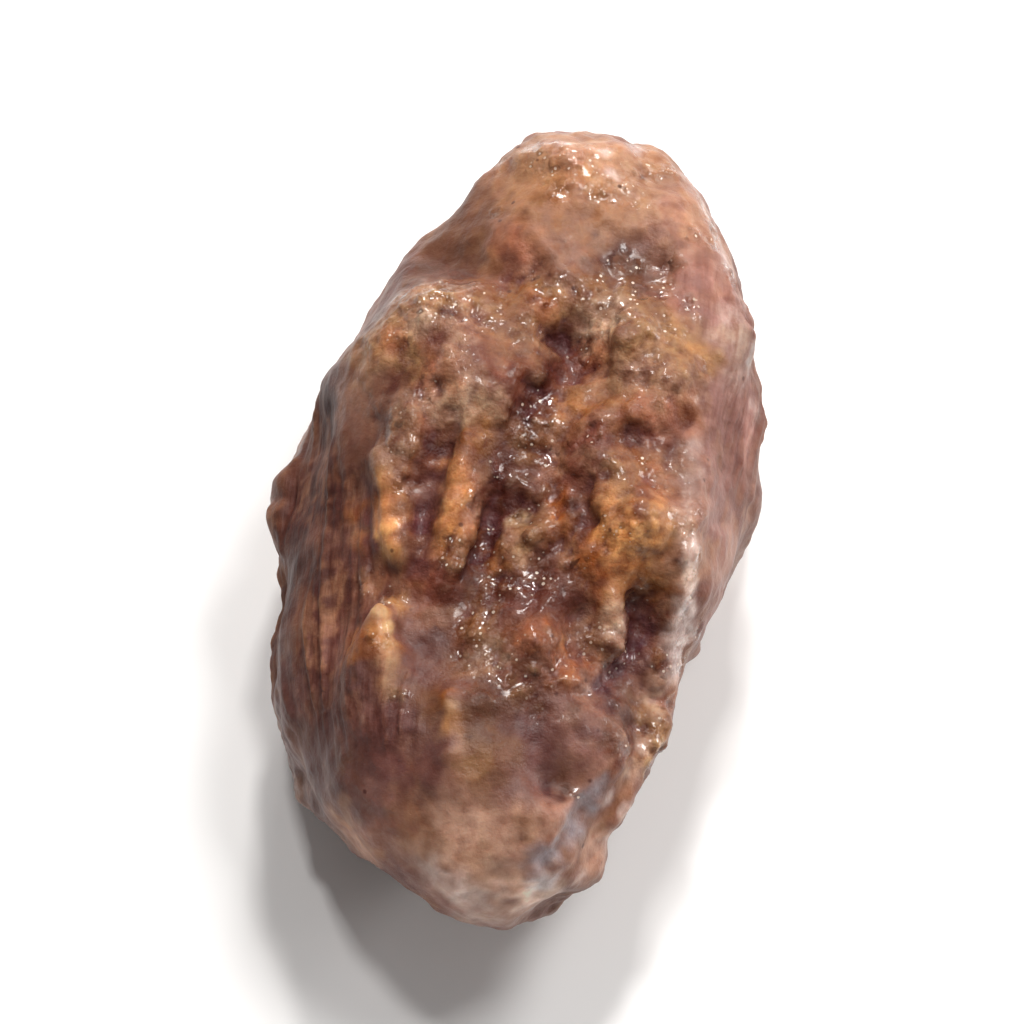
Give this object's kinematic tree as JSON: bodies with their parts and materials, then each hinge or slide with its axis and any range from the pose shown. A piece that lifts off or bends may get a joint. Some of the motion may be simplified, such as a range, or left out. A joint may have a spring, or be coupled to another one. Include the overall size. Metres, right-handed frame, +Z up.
{
  "type": "caramelized almond",
  "caption": "Caramelized almond: a bowed kernel in a lumpy, glossy coat of cooked sugar, its grooved brown skin showing through on one flank.",
  "frame": {"origin": "middle of the underside of the almond's box, on the small flat patch it lies on", "axes": "+Y along the almond's length, towards the thickly capped end; +Z up, the almond lying on one broad side"},
  "size_m": [0.0162, 0.027, 0.0118],
  "materials": {
    "caramel_coat": "glossy cooked sugar over brown almond skin"
  },
  "bodies": {
    "root": {"almond": "caramel_coat"}
  },
  "joints": []
}
